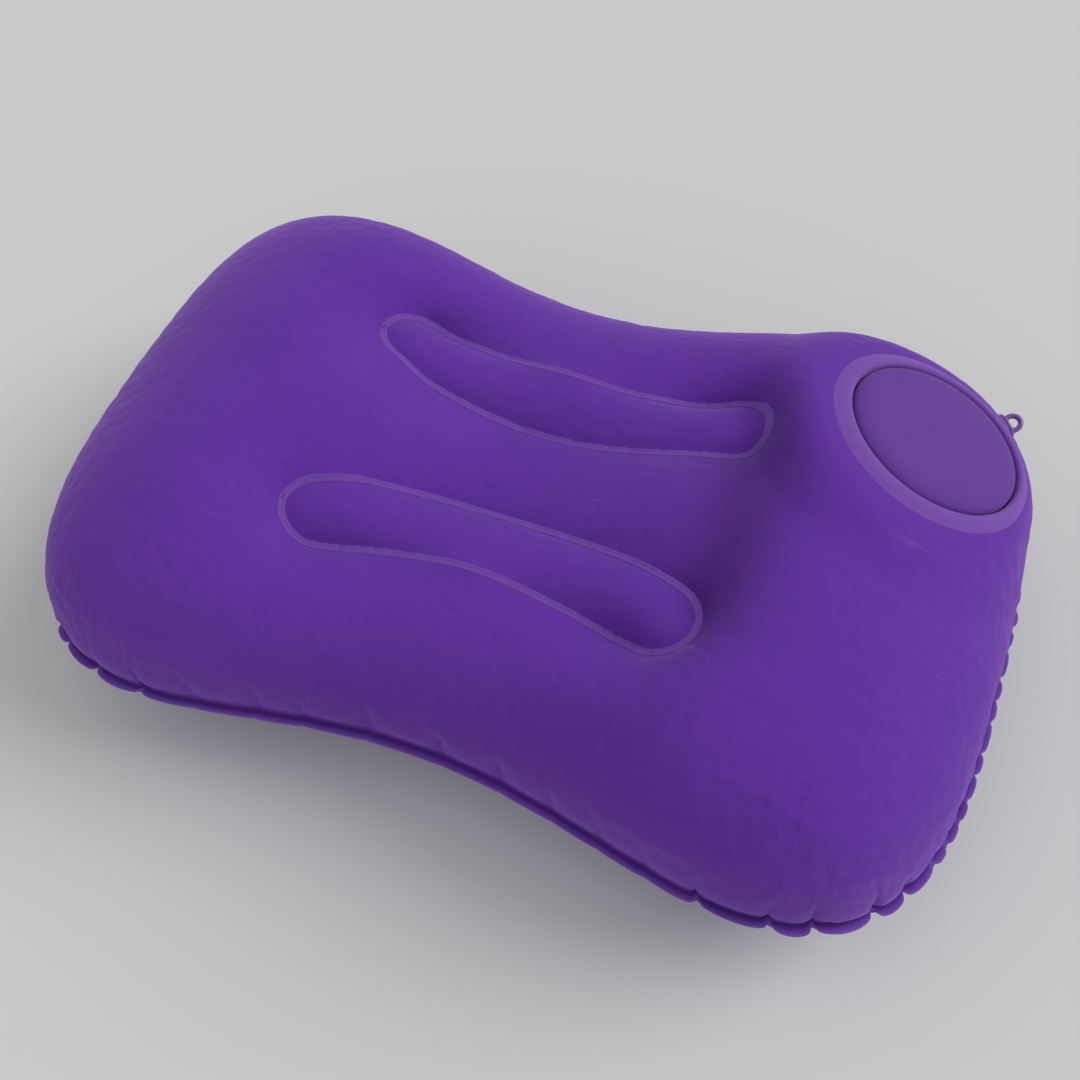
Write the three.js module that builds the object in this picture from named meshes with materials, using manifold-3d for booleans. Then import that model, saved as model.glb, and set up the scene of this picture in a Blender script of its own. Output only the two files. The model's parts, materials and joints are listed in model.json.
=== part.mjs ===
// An inflatable flocked travel pillow with a press pump built into one corner.
// Millimetres, +Z up. The pillow lies on the plane z = 0 with the middle of its outline at the origin,
// its long side along X, and the pump in the corner at +X, +Y.
import * as THREE from "three";
import { mergeVertices } from "three/addons/utils/BufferGeometryUtils.js";
import Module from "manifold-3d";

const wasm = await Module();
wasm.setup();

// ---- Driving dimensions ----

// Outline, to the edge of the welded seam
const HALF_LENGTH = 215;
const HALF_END_WIDTH = 148; // of the rounded rectangle that the lobes fill
const WAIST_PULL = 35; // how far each long side draws in at its middle
const END_BOW = 13; // how far each short end bows out
const LOBE_POWER = 4.5; // squareness of the outline: 2 is an ellipse
const SEAM_WIDTH = 5;

// Thickness
const SEAM_HEIGHT = 50; // of the weld above the ground
const END_RISE = 76; // of the end rolls above the seam
const MIDDLE_RISE = 58; // of the head rest above the seam
const ROLL_START = 0.62; // share of the half length where the end rolls are full
const SKIN = 0.8; // flocked PVC sheet
const GAP = 0.3; // left between pieces that are welded or lie on each other
const FLAT_SHARE = 0.5; // of the way in from the seam, beyond which the underside lies flat

// The two looped welds of the baffles
const LOOP_HALF_LENGTH = 90;
const LOOP_HALF_WIDTH = 15.2;
const LOOP_SHIFT = 3; // towards the pump
const LOOP_SPREAD = 37.4; // from the middle line to the loop's own middle line
const LOOP_FLARE = 14.5; // more than that at the loop's ends
const LOOP_PULL = 12; // depth that the weld draws the top down
const LOOP_REACH = 20; // distance over which the top recovers
const WAIST_EASE = 9; // how much less the outer weld is drawn down at the waist
const WAIST_EASE_REACH = 28;
const BAFFLE_SHEET = 0.8;
const BAFFLE_FOOT = 2.4; // height of the baffles' lower edge, which meets the rising underside at their tips
const VENT_RADIUS = 6;

// The press pump, on an axis tilted towards the corner
const PUMP_CENTRE = new THREE.Vector3(158, 67, 107);
const PUMP_NORMAL = new THREE.Vector3(0.34, 0.24, 0.91).normalize();
const PUMP_FLAT = 42; // radius over which the top is flat around the pump
const PUMP_BLEND = 62;
const COVER_RADIUS = 38.4;
const COLLAR_INNER = 39.1;
const COLLAR_OUTER = 46.5;
const COLLAR_HEIGHT = 2.2;
const COLLAR_DEPTH = 3;
const CUP_DEPTH = 38;
const CUP_WALL = 1;
const FOAM_RADIUS = 36.5;
const INTAKE_REACH = 27; // of the intake hole from the pump's axis
const INTAKE_HOLE = 2.6;

// The air valve with its plug, beside the pump
const VALVE_X = 186;
const VALVE_Y = 106.5;
const VALVE_FLANGE = 8;
const VALVE_BORE = 4.4;
const PLUG_STEM = 3.9;
const PLUG_HEAD = 6.2;
const PULL_LOOP = 3.2; // radius of the middle of its cord
const PULL_CORD = 1.2; // radius of the cord

// Mesh fineness
const TOP_CELLS = [38, 26];
const BOTTOM_CELLS = [24, 16];
const EDGE_CROWDING = 1.5;
const ROUND_STEPS = 32;

const Z_AXIS = new THREE.Vector3(0, 0, 1);

// ---- Materials ----

function material(color, roughness) {
  return new THREE.MeshStandardMaterial({ color, roughness, metalness: 0 });
}
const FLOCK = material(0x5a2e92, 0.95);
const FLOCK_COVER = material(0x6b4296, 0.9);
const COLLAR_PVC = material(0x7d57ab, 0.6);
const SHEET_PVC = material(0x4b2a78, 0.5);
const CLEAR_PVC = material(0x8a78ab, 0.35);
const FOAM = material(0xd9d3c4, 1.0);

// ---- Solids ----

function solidOf(geometry) {
  const bare = new THREE.BufferGeometry();
  bare.setAttribute("position", geometry.getAttribute("position"));
  bare.setIndex(geometry.index);
  const merged = mergeVertices(bare, 1e-4);
  const mesh = new wasm.Mesh({
    numProp: 3,
    vertProperties: merged.attributes.position.array,
    triVerts: new Uint32Array(merged.index.array),
  });
  return new wasm.Manifold(mesh);
}

function geometryOf(solid) {
  const mesh = solid.getMesh();
  const geometry = new THREE.BufferGeometry();
  geometry.setAttribute("position", new THREE.BufferAttribute(mesh.vertProperties, 3));
  geometry.setIndex(new THREE.BufferAttribute(mesh.triVerts, 1));
  geometry.computeVertexNormals();
  return geometry;
}

function node(name, geometry, look) {
  const mesh = new THREE.Mesh(geometry, look);
  mesh.name = name;
  return mesh;
}

// A ring or disc turned about Z from [radius, height] points, counter-clockwise seen with Z up.
function turned(profile, steps = ROUND_STEPS) {
  const points = profile.map(([radius, height]) => new THREE.Vector2(radius, height));
  return new THREE.LatheGeometry(points, steps).rotateX(Math.PI / 2);
}

function ring(inner, outer, low, high, steps = ROUND_STEPS) {
  const corners = [
    [inner, low],
    [outer, low],
    [outer, high],
    [inner, high],
    [inner, low],
  ];
  return turned(corners, steps);
}

function disc(radius, low, high, steps = ROUND_STEPS) {
  const corners = [
    [0, low],
    [radius, low],
    [radius, high],
    [0, high],
  ];
  return turned(corners, steps);
}

// ---- The inflated form ----

function smoothStep(low, high, value) {
  const share = THREE.MathUtils.clamp((value - low) / (high - low), 0, 1);
  return share * share * (3 - 2 * share);
}

// From a square of -1..1 to the outline's own coordinates: squares become nested outlines.
function nested(p, q) {
  const level = Math.max(Math.abs(p), Math.abs(q));
  if (level === 0) return { u: 0, v: 0, level };
  const power = Math.abs(p / level) ** LOBE_POWER + Math.abs(q / level) ** LOBE_POWER;
  const shrink = power ** (-1 / LOBE_POWER);
  return { u: p * shrink, v: q * shrink, level };
}

function outline(u, v, inset) {
  const x = (HALF_LENGTH - inset - END_BOW * v * v) * u;
  const waist = WAIST_PULL * (0.5 + 0.5 * Math.cos(Math.PI * u));
  const y = (HALF_END_WIDTH - inset - waist) * v;
  return [x, y];
}

function rise(u) {
  const along = Math.min(1, Math.abs(u) / ROLL_START);
  return MIDDLE_RISE + (END_RISE - MIDDLE_RISE) * Math.sin((Math.PI / 2) * along) ** 2;
}

// The middle line of a looped weld: its distance from the pillow's middle line at x.
function loopLine(x) {
  return LOOP_SPREAD + LOOP_FLARE * ((x - LOOP_SHIFT) / LOOP_HALF_LENGTH) ** 2;
}

// The looped weld on the +Y side, as points round its closed line, offset outwards by some width.
function loopOutline(offset, straightSteps = 14, endSteps = 7) {
  const width = LOOP_HALF_WIDTH + offset;
  const reach = LOOP_HALF_LENGTH - LOOP_HALF_WIDTH;
  const points = [];
  for (const side of [1, -1]) {
    for (let i = 0; i <= straightSteps; i += 1) {
      const along = side * reach * ((2 * i) / straightSteps - 1);
      points.push(besideLine(along, (-side * Math.PI) / 2, width));
    }
    for (let i = 1; i < endSteps; i += 1) {
      const turn = (-side * Math.PI) / 2 + Math.PI * (i / endSteps);
      points.push(besideLine(side * reach, turn, width));
    }
  }
  return points;
}

// A point at a distance and direction from the loop's middle line, turned with that line's slope.
function besideLine(along, turn, distance) {
  const x = LOOP_SHIFT + along;
  const slope = Math.atan((2 * LOOP_FLARE * along) / LOOP_HALF_LENGTH ** 2);
  const angle = turn + slope;
  return new THREE.Vector2(x + distance * Math.cos(angle), loopLine(x) + distance * Math.sin(angle));
}

const LOOP_POINTS = loopOutline(0);

function distanceToLoop(x, y) {
  let nearest = Infinity;
  const here = new THREE.Vector2(x, Math.abs(y));
  LOOP_POINTS.forEach((start, i) => {
    const end = LOOP_POINTS[(i + 1) % LOOP_POINTS.length];
    const edge = end.clone().sub(start);
    const share = here.clone().sub(start).dot(edge) / edge.lengthSq();
    const foot = start.clone().addScaledVector(edge, THREE.MathUtils.clamp(share, 0, 1));
    nearest = Math.min(nearest, foot.distanceTo(here));
  });
  return nearest;
}

// How far the baffles draw the top down at a point.
function loopPull(x, y) {
  const outside = smoothStep(25, 50, Math.abs(y));
  const ease = WAIST_EASE * outside * Math.exp(-((x / WAIST_EASE_REACH) ** 2));
  return (LOOP_PULL - ease) * Math.exp(-distanceToLoop(x, y) / LOOP_REACH);
}

// The flat that the pump sits on, blended into the top around it.
function flattenAtPump(x, y, z, inset) {
  const fromCentre = new THREE.Vector3(x, y, 0).sub(PUMP_CENTRE).setZ(0);
  const drop = fromCentre.dot(PUMP_NORMAL) / PUMP_NORMAL.z;
  const flatZ = PUMP_CENTRE.z - drop - inset / PUMP_NORMAL.z;
  const distance = fromCentre.setZ(-drop).length();
  return THREE.MathUtils.lerp(flatZ, z, smoothStep(PUMP_FLAT, PUMP_BLEND, distance));
}

// A point of the top sheet: inset 0 is its outer face, SKIN its inner face.
function topPoint(p, q, inset) {
  const { u, v, level } = nested(p, q);
  const [x, y] = outline(u, v, SEAM_WIDTH + inset);
  const profile = Math.sqrt(1 - level ** LOBE_POWER);
  const edge = SEAM_HEIGHT + GAP / 2 + SKIN - inset;
  const pull = loopPull(...outline(u, v, SEAM_WIDTH));
  const inflated = edge + (rise(u) - SKIN - pull) * profile;
  return new THREE.Vector3(x, y, flattenAtPump(x, y, inflated, inset));
}

// A point of the bottom sheet, which lies flat on the ground in the middle.
function bottomPoint(p, q, inset) {
  const { u, v, level } = nested(p, q);
  const [x, y] = outline(u, v, SEAM_WIDTH + inset);
  const share = Math.min(1, (1 - level) / FLAT_SHARE);
  const edge = SEAM_HEIGHT - GAP / 2 - SKIN + inset;
  const fall = SEAM_HEIGHT - GAP / 2 - SKIN;
  return new THREE.Vector3(x, y, edge - fall * Math.sqrt(1 - (1 - share) ** 2));
}

function crowded(share) {
  return Math.sign(share) * (1 - (1 - Math.abs(share)) ** EDGE_CROWDING);
}

// A grid of points over the whole outline, rows of equal q from low to high.
function pointGrid([across, up], pointAt) {
  const rows = [];
  for (let j = 0; j <= up; j += 1) {
    const row = [];
    for (let i = 0; i <= across; i += 1) {
      row.push(pointAt(crowded((2 * i) / across - 1), crowded((2 * j) / up - 1)));
    }
    rows.push(row);
  }
  return rows;
}

// The border of a grid, counter-clockwise from its first corner.
function borderOf(rows) {
  const last = rows.length - 1;
  const low = rows[0].slice(0, -1);
  const right = rows.slice(0, last).map((row) => row[row.length - 1]);
  const high = rows[last].slice(1).reverse();
  const left = rows.slice(1).map((row) => row[0]).reverse();
  return [...low, ...right, ...high, ...left];
}

// A closed geometry from triangles given as Vector3 corners.
function closedGeometry(triangles) {
  const numbers = triangles.flatMap((corner) => corner.toArray());
  const geometry = new THREE.BufferGeometry();
  geometry.setAttribute("position", new THREE.Float32BufferAttribute(numbers, 3));
  return mergeVertices(geometry, 1e-4);
}

function gridTriangles(rows, facesUp) {
  const triangles = [];
  for (let j = 0; j < rows.length - 1; j += 1) {
    for (let i = 0; i < rows[j].length - 1; i += 1) {
      const [a, b, c, d] = [rows[j][i], rows[j][i + 1], rows[j + 1][i + 1], rows[j + 1][i]];
      triangles.push(...(facesUp ? [a, b, c, a, c, d] : [a, c, b, a, d, c]));
    }
  }
  return triangles;
}

// The wall between two closed borders, facing out when the first is above the second.
function wallTriangles(upper, lower) {
  const triangles = [];
  upper.forEach((a, i) => {
    const next = (i + 1) % upper.length;
    triangles.push(a, lower[i], lower[next], a, lower[next], upper[next]);
  });
  return triangles;
}

function seamEdge(cells, height) {
  const edge = pointGrid(cells, (p, q) => {
    const { u, v } = nested(p, q);
    return new THREE.Vector3(...outline(u, v, 0), height);
  });
  return borderOf(edge);
}

// The top sheet with its half of the seam.
function topSheet() {
  const outer = pointGrid(TOP_CELLS, (p, q) => topPoint(p, q, 0));
  const inner = pointGrid(TOP_CELLS, (p, q) => topPoint(p, q, SKIN));
  const seamTop = seamEdge(TOP_CELLS, SEAM_HEIGHT + GAP / 2 + SKIN);
  const seamBottom = seamEdge(TOP_CELLS, SEAM_HEIGHT + GAP / 2);
  return closedGeometry([
    ...gridTriangles(outer, true),
    ...wallTriangles(borderOf(outer), seamTop),
    ...wallTriangles(seamTop, seamBottom),
    ...wallTriangles(seamBottom, borderOf(inner)),
    ...gridTriangles(inner, false),
  ]);
}

function bottomSheet() {
  const outer = pointGrid(BOTTOM_CELLS, (p, q) => bottomPoint(p, q, 0));
  const inner = pointGrid(BOTTOM_CELLS, (p, q) => bottomPoint(p, q, SKIN));
  const seamTop = seamEdge(BOTTOM_CELLS, SEAM_HEIGHT - GAP / 2);
  const seamBottom = seamEdge(BOTTOM_CELLS, SEAM_HEIGHT - GAP / 2 - SKIN);
  return closedGeometry([
    ...gridTriangles(inner, true),
    ...wallTriangles(borderOf(inner), seamTop),
    ...wallTriangles(seamTop, seamBottom),
    ...wallTriangles(seamBottom, borderOf(outer)),
    ...gridTriangles(outer, false),
  ]);
}

// The air space inside, kept clear of both sheets.
function airSpace() {
  const clearance = SKIN + GAP;
  const roof = pointGrid(TOP_CELLS, (p, q) => topPoint(p, q, clearance));
  const floor = pointGrid(TOP_CELLS, (p, q) => {
    const { u, v } = nested(p, q);
    return new THREE.Vector3(...outline(u, v, SEAM_WIDTH + clearance), BAFFLE_FOOT);
  });
  const sides = wallTriangles(borderOf(roof), borderOf(floor));
  return closedGeometry([...gridTriangles(roof, true), ...sides, ...gridTriangles(floor, false)]);
}

// ---- Frames of the pump and the valve ----

function frameAt(place, normal) {
  const group = new THREE.Group();
  group.position.copy(place);
  group.quaternion.setFromUnitVectors(Z_AXIS, normal);
  group.updateMatrix();
  return group;
}

// The outer face at a place in plan, found from the outline's own coordinates by repeated steps.
function topFaceAt(x, y) {
  let [p, q] = [x / HALF_LENGTH, y / HALF_END_WIDTH];
  let point = topPoint(p, q, 0);
  for (let i = 0; i < 60; i += 1) {
    p += (0.5 * (x - point.x)) / HALF_LENGTH;
    q += (0.5 * (y - point.y)) / HALF_END_WIDTH;
    point = topPoint(p, q, 0);
  }
  return point;
}

function topNormalAt(x, y) {
  const step = 3;
  const east = topFaceAt(x + step, y).sub(topFaceAt(x - step, y));
  const north = topFaceAt(x, y + step).sub(topFaceAt(x, y - step));
  return east.cross(north).normalize();
}

const pumpFrame = frameAt(PUMP_CENTRE, PUMP_NORMAL);
const valveFrame = frameAt(topFaceAt(VALVE_X, VALVE_Y), topNormalAt(VALVE_X, VALVE_Y));

// ---- Pieces of the skin ----

function topPanel() {
  const pumpHole = disc(COLLAR_OUTER + GAP, -25, 25).applyMatrix4(pumpFrame.matrix);
  const valveHole = disc(VALVE_FLANGE + GAP, -12, 12).applyMatrix4(valveFrame.matrix);
  const panel = solidOf(topSheet()).subtract(solidOf(pumpHole)).subtract(solidOf(valveHole));
  return node("top_panel", geometryOf(panel), FLOCK);
}

function bottomPanel() {
  return node("bottom_panel", bottomSheet(), FLOCK);
}

function loopOnSide(offset, side) {
  const points = loopOutline(offset);
  if (side > 0) return points;
  return points.map((point) => new THREE.Vector2(point.x, -point.y)).reverse();
}

// A looped wall of sheet between the two panels, with vent holes so that air fills its inside.
// side is 1 for the one at +Y and -1 for its mirror image at -Y.
function baffle(name, side) {
  const shape = new THREE.Shape(loopOnSide(BAFFLE_SHEET / 2, side));
  shape.holes.push(new THREE.Path(loopOnSide(-BAFFLE_SHEET / 2, side)));
  const tall = new THREE.ExtrudeGeometry(shape, { depth: 2 * SEAM_HEIGHT + END_RISE, bevelEnabled: false });
  let wall = solidOf(tall).intersect(solidOf(airSpace()));
  for (const along of [-45, 0, 45]) {
    const vent = new THREE.CylinderGeometry(VENT_RADIUS, VENT_RADIUS, 5 * LOOP_HALF_WIDTH, 16);
    vent.translate(LOOP_SHIFT + along, side * loopLine(LOOP_SHIFT + along), SEAM_HEIGHT);
    wall = wall.subtract(solidOf(vent));
  }
  return node(name, geometryOf(wall), SHEET_PVC);
}

// ---- The press pump, in its own frame: Z out of the pillow, z = 0 at the top panel ----

function collar() {
  const crown = (COLLAR_OUTER - COLLAR_INNER) / 2;
  const profile = [
    [COLLAR_INNER, -COLLAR_DEPTH],
    [COLLAR_OUTER, -COLLAR_DEPTH],
    [COLLAR_OUTER, 0.4],
  ];
  for (let i = 1; i < 6; i += 1) {
    const turn = (Math.PI * i) / 6;
    const height = 0.4 + (COLLAR_HEIGHT - 0.4) * Math.sin(turn);
    profile.push([COLLAR_INNER + crown + crown * Math.cos(turn), height]);
  }
  profile.push([COLLAR_INNER, 0.4], [COLLAR_INNER, -COLLAR_DEPTH]);
  return node("pump_collar", turned(profile, 40), COLLAR_PVC);
}

const CUP_TOP = -COLLAR_DEPTH - GAP;
const COVER_UNDERSIDE = 1.6;
const FOAM_BOTTOM = -CUP_DEPTH + CUP_WALL + GAP;

// Where the intake hole goes through the cover, towards the corner.
const intakePlace = new THREE.Vector3(INTAKE_REACH, 0, 0).applyAxisAngle(Z_AXIS, Math.PI / 4);

function moved(geometry, place) {
  return geometry.translate(place.x, place.y, place.z);
}

function cup() {
  const inner = COLLAR_INNER - 0.3;
  const outer = inner + CUP_WALL;
  const outletHole = 5;
  const profile = [
    [outletHole, -CUP_DEPTH],
    [outer - 3, -CUP_DEPTH],
    [outer, -CUP_DEPTH + 3],
    [outer, CUP_TOP - CUP_WALL],
    [COLLAR_OUTER - 1, CUP_TOP - CUP_WALL],
    [COLLAR_OUTER - 1, CUP_TOP],
    [inner, CUP_TOP],
    [inner, -CUP_DEPTH + CUP_WALL + 2],
    [inner - 2, -CUP_DEPTH + CUP_WALL],
    [outletHole, -CUP_DEPTH + CUP_WALL],
    [outletHole, -CUP_DEPTH],
  ];
  return node("pump_cup", turned(profile), SHEET_PVC);
}

function foam() {
  const profile = [
    [0, FOAM_BOTTOM],
    [FOAM_RADIUS - 3, FOAM_BOTTOM],
    [FOAM_RADIUS, FOAM_BOTTOM + 3],
    [FOAM_RADIUS, 0],
    [FOAM_RADIUS - 1.5, COVER_UNDERSIDE - GAP],
    [0, COVER_UNDERSIDE - GAP],
  ];
  const pocket = moved(disc(8.5, -8, 5, 20), intakePlace);
  const block = solidOf(turned(profile)).subtract(solidOf(pocket));
  return node("pump_foam", geometryOf(block), FOAM);
}

function cover() {
  const profile = [
    [0, COVER_UNDERSIDE],
    [COVER_RADIUS - 1.2, COVER_UNDERSIDE],
    [COVER_RADIUS - 1.2, -1.5],
    [COVER_RADIUS, -1.5],
    [COVER_RADIUS, 1],
    [COVER_RADIUS - 0.8, 2.1],
    [COVER_RADIUS - 2.8, 3],
    [26, 3.9],
    [13, 4.4],
    [0, 4.6],
  ];
  const hole = moved(disc(INTAKE_HOLE, -5, 8, 16), intakePlace);
  const shell = solidOf(turned(profile, 36)).subtract(solidOf(hole));
  return node("pump_cover", geometryOf(shell), FLOCK_COVER);
}

function intakeSeat() {
  return node("intake_seat", moved(ring(INTAKE_HOLE, 6.5, 0.4, 1.3, 20), intakePlace), CLEAR_PVC);
}

// A round flap with a straight tab on its hinge side, at -Y.
function flap(name, radius, high) {
  const shape = new THREE.Shape();
  const tab = radius * 0.55;
  shape.absarc(0, 0, radius, -Math.PI / 2 + 0.58, (3 * Math.PI) / 2 - 0.58, false);
  shape.lineTo(-tab, -radius - 1);
  shape.lineTo(tab, -radius - 1);
  shape.closePath();
  const sheet = new THREE.ExtrudeGeometry(shape, { depth: 0.6, bevelEnabled: false, curveSegments: 9 });
  return node(name, sheet.translate(0, 0, high - 0.6), CLEAR_PVC);
}

const OUTLET_FLAP_RADIUS = 8;
const INTAKE_FLAP_RADIUS = 5.2;

function intakeFlap() {
  const mesh = flap("intake_flap", INTAKE_FLAP_RADIUS, 0.1);
  mesh.position.set(intakePlace.x, intakePlace.y, 0);
  return mesh;
}

function outletSeat() {
  return node("outlet_seat", ring(4, 11, -CUP_DEPTH - 2.3, -CUP_DEPTH - GAP, 28), CLEAR_PVC);
}

function outletFlap() {
  return flap("outlet_flap", OUTLET_FLAP_RADIUS, -CUP_DEPTH - 2.3 - GAP);
}

pumpFrame.add(collar(), cup(), foam(), cover(), intakeSeat(), intakeFlap(), outletSeat(), outletFlap());

// ---- The air valve, in its own frame: Z out of the pillow ----

function valveBody() {
  const profile = [
    [VALVE_BORE, -8],
    [VALVE_BORE + 1, -8],
    [VALVE_BORE + 1, -1.6],
    [VALVE_FLANGE, -1.6],
    [VALVE_FLANGE, 0.2],
    [VALVE_FLANGE - 0.8, 0.8],
    [VALVE_BORE, 0.8],
    [VALVE_BORE, -8],
  ];
  return node("valve_body", turned(profile, 28), COLLAR_PVC);
}

const HEAD_LOW = 1.1;
const HEAD_HIGH = 2.9;

function valvePlug() {
  const profile = [
    [0, -7],
    [PLUG_STEM - 1, -7],
    [PLUG_STEM, -6],
    [PLUG_STEM, HEAD_LOW],
    [PLUG_HEAD, HEAD_LOW],
    [PLUG_HEAD, HEAD_HIGH - 0.6],
    [PLUG_HEAD - 0.6, HEAD_HIGH],
    [0, HEAD_HIGH],
  ];
  const loop = new THREE.TorusGeometry(PULL_LOOP, PULL_CORD, 10, 20);
  loop.rotateX(Math.PI / 2).translate(0, 0, HEAD_HIGH + PULL_LOOP);
  const plug = solidOf(turned(profile, 24)).add(solidOf(loop));
  return node("valve_plug", geometryOf(plug), COLLAR_PVC);
}

// The strap that keeps the plug on the valve when it is pulled out. It leaves the head on the side
// that faces away from the pump and bends down to the skin.
function valveTether() {
  const route = new THREE.CatmullRomCurve3([
    new THREE.Vector3(PLUG_HEAD + GAP, 0, 2.3),
    new THREE.Vector3(PLUG_HEAD + 2, 0, 2.4),
    new THREE.Vector3(PLUG_HEAD + 3.4, 0, 1.8),
    new THREE.Vector3(PLUG_HEAD + 4.2, 0, 0.8),
  ]);
  const strap = new THREE.Shape();
  strap.moveTo(-0.35, -1.25);
  strap.lineTo(0.35, -1.25);
  strap.lineTo(0.35, 1.25);
  strap.lineTo(-0.35, 1.25);
  strap.closePath();
  const sheet = new THREE.ExtrudeGeometry(strap, { steps: 8, extrudePath: route });
  const toLocal = valveFrame.quaternion.clone().invert();
  const away = valveFrame.position.clone().sub(PUMP_CENTRE).applyQuaternion(toLocal);
  const mesh = node("valve_tether", sheet, COLLAR_PVC);
  mesh.rotation.z = Math.atan2(away.y, away.x);
  return mesh;
}

valveFrame.add(valveBody(), valvePlug(), valveTether());

// ---- The pillow ----

const pillow = new THREE.Group();
pillow.name = "travel_pillow";
pillow.add(topPanel(), bottomPanel(), baffle("rear_baffle", 1), baffle("front_baffle", -1));
pillow.add(pumpFrame, valveFrame);

export default pillow;
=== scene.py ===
"""The looks of an inflatable flocked travel pillow with a press pump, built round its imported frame.

The skin is laid out in millimetres on the outline's own coordinates and drawn in at the gathers of its seam.
A cloth simulation blows it up between its welds, and then it gets its half of the welded edge. Everything is
handed to Blender in metres.
"""
import json
import math

import bmesh
import bpy
import numpy as np
from mathutils import Matrix, Vector
from mathutils.bvhtree import BVHTree
from mathutils.geometry import interpolate_bezier


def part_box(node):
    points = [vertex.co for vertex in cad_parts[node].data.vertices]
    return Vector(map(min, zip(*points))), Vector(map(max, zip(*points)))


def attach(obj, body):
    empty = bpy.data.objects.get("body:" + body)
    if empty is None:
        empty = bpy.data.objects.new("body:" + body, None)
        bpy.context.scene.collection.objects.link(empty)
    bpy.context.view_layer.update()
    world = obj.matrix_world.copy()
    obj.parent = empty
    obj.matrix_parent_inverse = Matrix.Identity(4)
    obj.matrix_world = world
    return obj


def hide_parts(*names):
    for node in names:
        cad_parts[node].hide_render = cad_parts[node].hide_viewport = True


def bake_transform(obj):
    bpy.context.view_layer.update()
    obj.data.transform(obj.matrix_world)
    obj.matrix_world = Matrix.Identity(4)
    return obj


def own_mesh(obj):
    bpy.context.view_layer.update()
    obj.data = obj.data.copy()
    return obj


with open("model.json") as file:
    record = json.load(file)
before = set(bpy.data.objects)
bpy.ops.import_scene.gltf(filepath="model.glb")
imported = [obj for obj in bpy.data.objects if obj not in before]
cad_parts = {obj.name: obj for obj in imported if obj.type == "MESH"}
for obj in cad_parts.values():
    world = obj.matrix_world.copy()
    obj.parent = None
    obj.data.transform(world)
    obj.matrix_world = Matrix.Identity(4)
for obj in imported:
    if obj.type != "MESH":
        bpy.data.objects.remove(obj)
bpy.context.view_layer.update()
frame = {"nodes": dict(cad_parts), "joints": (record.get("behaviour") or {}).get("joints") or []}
MM = 0.001
SEED = 11

# ---- Driving dimensions, in millimetres ----

_, TOP_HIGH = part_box("top_panel")
_, BOTTOM_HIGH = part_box("bottom_panel")
HALF_LENGTH = TOP_HIGH[0] / MM
SEAM_HEIGHT = BOTTOM_HIGH[2] / MM + 0.15
HALF_END_WIDTH = 148.0
WAIST_PULL = 30.0
END_BOW = 13.0
LOBE_POWER = 4.5
SEAM_WIDTH = 5.0
SKIN_THICKNESS = 0.5
WELD_HALF_GAP = 0.45
END_RISE = 76.0
MIDDLE_RISE = 58.0
ROLL_START = 0.62
FULLNESS = 0.44
FLAT_SHARE = 0.5

LOOP_HALF_LENGTH = 90.0
LOOP_HALF_WIDTH = 15.2
LOOP_SHIFT = 3.0
LOOP_SPREAD = 37.4
LOOP_FLARE = 14.5
LOOP_PULL = 12.0
LOOP_REACH = 20.0
PUMP_SIDE_SHORTER = 9.0
TIP_PINCH = 4.0
OUTER_DIP = 6.5
OUTER_DIP_PLACE = 66.0
OUTER_DIP_REACH = 20.0
TIP_EASE = 5.5
PAD_REACH = 11.5
WELD_WIDTH = 3.2
WAIST_EASE = 9.0
WAIST_EASE_REACH = 28.0
VALLEY_DEPTH = 6.0
VALLEY_PLACE = (93.0, -2.0)
VALLEY_REACH = (17.0, 54.0)

PUMP_CENTRE = np.array([158.0, 67.0, 107.0])
PUMP_NORMAL = -np.array([j["axis"] for j in frame["joints"] if j["name"] == "pump_press"][0])
PUMP_FLAT = 42.0
PUMP_BLEND = 84.0
OUTER_SHORTER = 22.0
FOAM_RADIUS = 36.5
FOAM_LOW = -36.7
FOAM_HIGH = 1.3
VALVE_CENTRE = np.array([186.0, 106.5, 76.017])
VALVE_NORMAL = np.array([j["axis"] for j in frame["joints"] if j["name"] == "valve_plug_pull"][0])
PLUG_STEM = 3.9
PLUG_HEAD = 6.2
PLUG_HEAD_LOW = 1.1
PLUG_HEAD_HIGH = 2.9
PLUG_ROUNDING = 0.9
PULL_LOOP_HALF_WIDTH = 3.3
PULL_LOOP_HALF_HEIGHT = 3.6
PULL_LOOP_CORD = 1.15
STRAP_HALF_WIDTH = 1.25
STRAP_HALF_THICKNESS = 0.36
COVER_RADIUS = 38.4
COLLAR_INNER = 39.1
COLLAR_OUTER = 49.0

TOP_CELLS = (460, 290)
BOTTOM_CELLS = (240, 150)
EDGE_CROWDING = 1.35


# ---- Camera, floor and light ----

AIM = Vector((0.0062, -0.0023, 0.050))
AZIMUTH, ELEVATION, ROLL = (math.radians(a) for a in (28.04, 59.04, -7.24))
DISTANCE = 0.53
LENS = 38.46


def camera_axes():
    """Right, up and backward directions of a camera that looks at the pillow from AZIMUTH and ELEVATION."""
    ca, sa, ce, se = math.cos(AZIMUTH), math.sin(AZIMUTH), math.cos(ELEVATION), math.sin(ELEVATION)
    right = Vector((ca, sa, 0))
    up = Vector((-sa * se, ca * se, ce))
    back = Vector((sa * ce, -ca * ce, se))
    rolled_right = math.cos(ROLL) * right + math.sin(ROLL) * up
    rolled_up = -math.sin(ROLL) * right + math.cos(ROLL) * up
    return rolled_right, rolled_up, back


def make_camera():
    """The camera, at the photo's angle."""
    right, up, back = camera_axes()
    data = bpy.data.cameras.new("camera")
    data.lens = LENS
    data.sensor_width = 36.0
    data.clip_start = 0.01
    obj = bpy.data.objects.new("camera", data)
    turn = Matrix((right, up, back)).transposed()
    obj.matrix_world = Matrix.Translation(AIM + DISTANCE * back) @ turn.to_4x4()
    bpy.context.scene.collection.objects.link(obj)
    bpy.context.scene.camera = obj


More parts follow.
